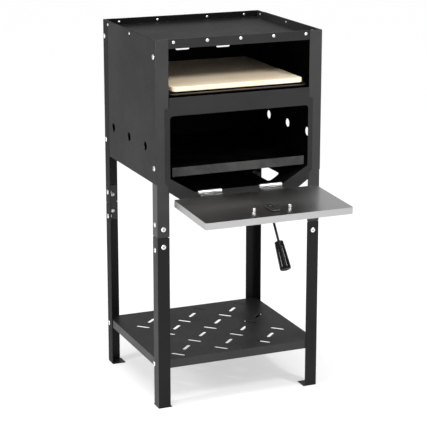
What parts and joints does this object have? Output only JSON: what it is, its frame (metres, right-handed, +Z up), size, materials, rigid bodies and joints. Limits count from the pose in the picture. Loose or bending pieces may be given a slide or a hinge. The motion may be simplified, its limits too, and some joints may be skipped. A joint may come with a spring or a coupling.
{
  "type": "pizza oven",
  "caption": "Free-standing charcoal pizza oven on angle-iron legs: stone shelf over a charcoal tray and ash hopper, drop-down stainless door with latch, slotted lower shelf.",
  "frame": {"origin": "centre of the footprint of the oven with its door open, on the floor", "axes": "+Z up, -Y is the front where the door opens, +X is the right side seen from the front"},
  "size_m": [0.4762, 0.7128, 1],
  "materials": {
    "black_coat": "satin black heat-resistant powder coat",
    "stainless": "lightly brushed stainless sheet",
    "zinc": "bright zinc-plated steel",
    "stone": "matt cream cordierite baking stone",
    "dark_wire": "dark satin steel wire",
    "grip_black": "glossy black moulded grip"
  },
  "bodies": {
    "frame": {"ash_hopper": "black_coat", "back_panel": "black_coat", "bolt_back_left_face_lower": "zinc", "bolt_back_left_face_upper": "zinc", "bolt_back_left_side_lower": "zinc", "bolt_back_left_side_upper": "zinc", "bolt_back_right_face_lower": "zinc", "bolt_back_right_face_upper": "zinc", "bolt_back_right_side_lower": "zinc", "bolt_back_right_side_upper": "zinc", "bolt_front_left_face_lower": "zinc", "bolt_front_left_face_upper": "zinc", "bolt_front_left_side_lower": "zinc", "bolt_front_left_side_upper": "zinc", "bolt_front_right_face_lower": "zinc", "bolt_front_right_face_upper": "zinc", "bolt_front_right_side_lower": "zinc", "bolt_front_right_side_upper": "zinc", "charcoal_tray": "black_coat", "front_fascia": "black_coat", "front_plate": "black_coat", "hinge_leaf_left": "zinc", "hinge_leaf_right": "zinc", "hinge_pin_left": "zinc", "hinge_pin_right": "zinc", "hopper_back": "black_coat", "leg_lower_back_left": "black_coat", "leg_lower_back_right": "black_coat", "leg_lower_front_left": "black_coat", "leg_lower_front_right": "black_coat", "leg_splice_back_left": "black_coat", "leg_splice_back_right": "black_coat", "leg_splice_front_left": "black_coat", "leg_splice_front_right": "black_coat", "leg_upper_back_left": "black_coat", "leg_upper_back_right": "black_coat", "leg_upper_front_left": "black_coat", "leg_upper_front_right": "black_coat", "lower_shelf": "black_coat", "rack_ledge_left": "black_coat", "rack_ledge_right": "black_coat", "side_panel_left": "black_coat", "side_panel_right": "black_coat", "stone_rack": "dark_wire", "top_tray": "black_coat", "tray_rail_left": "black_coat", "tray_rail_right": "black_coat"},
    "door": {"door_shell": "stainless", "door_liner": "stainless", "door_stud_left": "zinc", "door_stud_right": "zinc", "hinge_strap_left": "zinc", "hinge_strap_right": "zinc", "latch_bush": "zinc"},
    "latch": {"latch_rod": "black_coat", "latch_grip": "grip_black", "latch_tongue": "black_coat", "latch_nut": "black_coat"},
    "stone": {"pizza_stone": "stone"}
  },
  "joints": [
    {"name": "door_hinge", "type": "hinge", "parent": "frame", "child": "door", "pos_m": [0, -0.05918, 0.591], "axis": [-1, 0, 0], "range_deg": [0, 92.4]},
    {"name": "latch_turn", "type": "hinge", "parent": "door", "child": "latch", "pos_m": [0, -0.25307, 0.57226], "axis": [0, -0.0419, 0.9991], "range_deg": [0, 90]},
    {"name": "stone_slide", "type": "slide", "parent": "frame", "child": "stone", "axis": [0, -1, 0], "range_m": [0, 0.08]}
  ]
}
